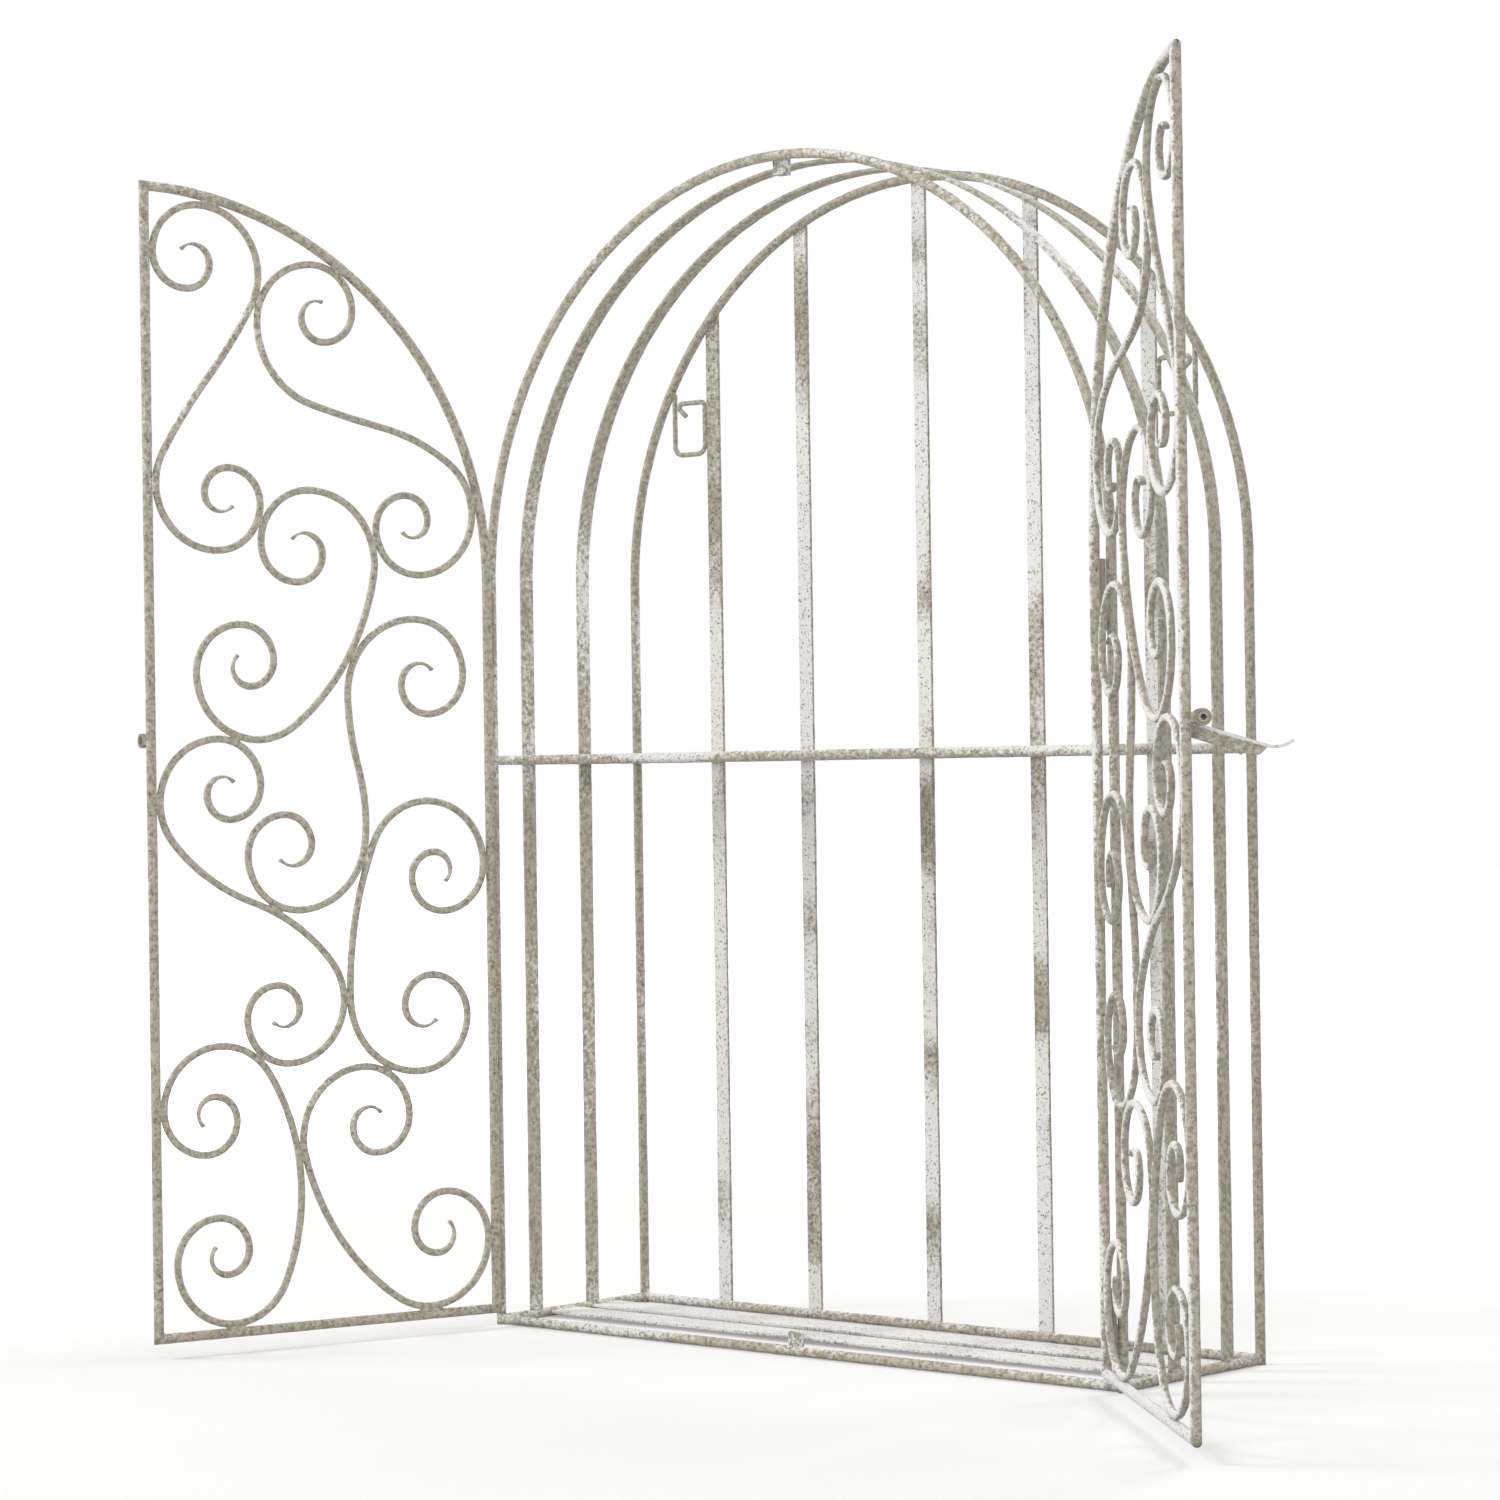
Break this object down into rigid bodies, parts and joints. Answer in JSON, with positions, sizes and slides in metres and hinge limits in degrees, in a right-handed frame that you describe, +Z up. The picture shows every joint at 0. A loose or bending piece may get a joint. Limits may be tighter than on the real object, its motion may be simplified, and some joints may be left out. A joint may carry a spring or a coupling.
{
  "type": "metal wall cabinet",
  "caption": "Arched open wall cabinet of welded bar with a shelf, scroll-work double doors on lift-off hinges, a sliding latch and hanging loops, in rubbed whitewash paint",
  "frame": {"origin": "on the wall behind the middle back bar, level with the top wire of the hanging loops", "axes": "+Z up, +Y into the wall, +X to the right of someone facing the doors"},
  "size_m": [0.9384, 0.4664, 0.8999],
  "materials": {
    "frame_paint": "grey-beige paint with a rubbed whitewash and dark pits",
    "door_paint": "grey-beige paint with a rubbed whitewash, worn on the lit side",
    "scroll_paint": "grey-beige paint over hammered bar, whitewash on the high spots",
    "hinge_paint": "thin grey-beige paint, rubbed dark on knuckles and latch"
  },
  "bodies": {
    "cabinet_frame": {"back_bar_1": "frame_paint", "back_bar_2": "frame_paint", "back_bar_3": "frame_paint", "back_bar_4": "frame_paint", "back_bar_5": "frame_paint", "base_front_bar": "frame_paint", "base_left_bar": "frame_paint", "base_rear_bar": "frame_paint", "base_right_bar": "frame_paint", "base_slat_front": "frame_paint", "base_slat_rear": "frame_paint", "bottom_door_stop": "frame_paint", "front_arch": "frame_paint", "hoop_front": "frame_paint", "hoop_rear": "frame_paint", "left_hanging_loop": "frame_paint", "left_hinge_pins": "hinge_paint", "rear_arch": "frame_paint", "right_hanging_loop": "frame_paint", "right_hinge_pins": "hinge_paint", "shelf_front_bar": "frame_paint", "shelf_left_bar": "frame_paint", "shelf_rear_bar": "frame_paint", "shelf_right_bar": "frame_paint", "shelf_slat_front": "frame_paint", "shelf_slat_rear": "frame_paint", "top_door_stop": "frame_paint"},
    "left_door": {"left_arch_rail": "door_paint", "left_bottom_rail": "door_paint", "left_hinge_barrels": "hinge_paint", "left_hinge_stile": "door_paint", "left_latch_tube": "hinge_paint", "left_meeting_stile": "door_paint", "left_scroll_1": "scroll_paint", "left_scroll_2": "scroll_paint", "left_scroll_3": "scroll_paint", "left_scroll_4": "scroll_paint", "left_scroll_5": "scroll_paint", "left_scroll_6": "scroll_paint", "left_scroll_7": "scroll_paint", "left_scroll_8": "scroll_paint"},
    "right_door": {"right_arch_rail": "door_paint", "right_bottom_rail": "door_paint", "right_hinge_barrels": "hinge_paint", "right_hinge_stile": "door_paint", "right_latch_tube": "hinge_paint", "right_meeting_stile": "door_paint", "right_scroll_1": "scroll_paint", "right_scroll_2": "scroll_paint", "right_scroll_3": "scroll_paint", "right_scroll_4": "scroll_paint", "right_scroll_5": "scroll_paint", "right_scroll_6": "scroll_paint", "right_scroll_7": "scroll_paint", "right_scroll_8": "scroll_paint"},
    "latch_bolt": {"latch_bolt": "hinge_paint", "latch_handle": "hinge_paint"}
  },
  "joints": [
    {"name": "left_door_hinge", "type": "hinge", "parent": "cabinet_frame", "child": "left_door", "pos_m": [-0.30131, -0.17736, 0], "axis": [0, 0, 1], "range_deg": [-73.8, 106.2]},
    {"name": "right_door_hinge", "type": "hinge", "parent": "cabinet_frame", "child": "right_door", "pos_m": [0.30131, -0.17736, 0], "axis": [0, 0, 1], "range_deg": [-137.7, 42.3]},
    {"name": "latch_slide", "type": "slide", "parent": "right_door", "child": "latch_bolt", "axis": [0.7396, -0.673, 0], "range_m": [0, 0.014]}
  ]
}
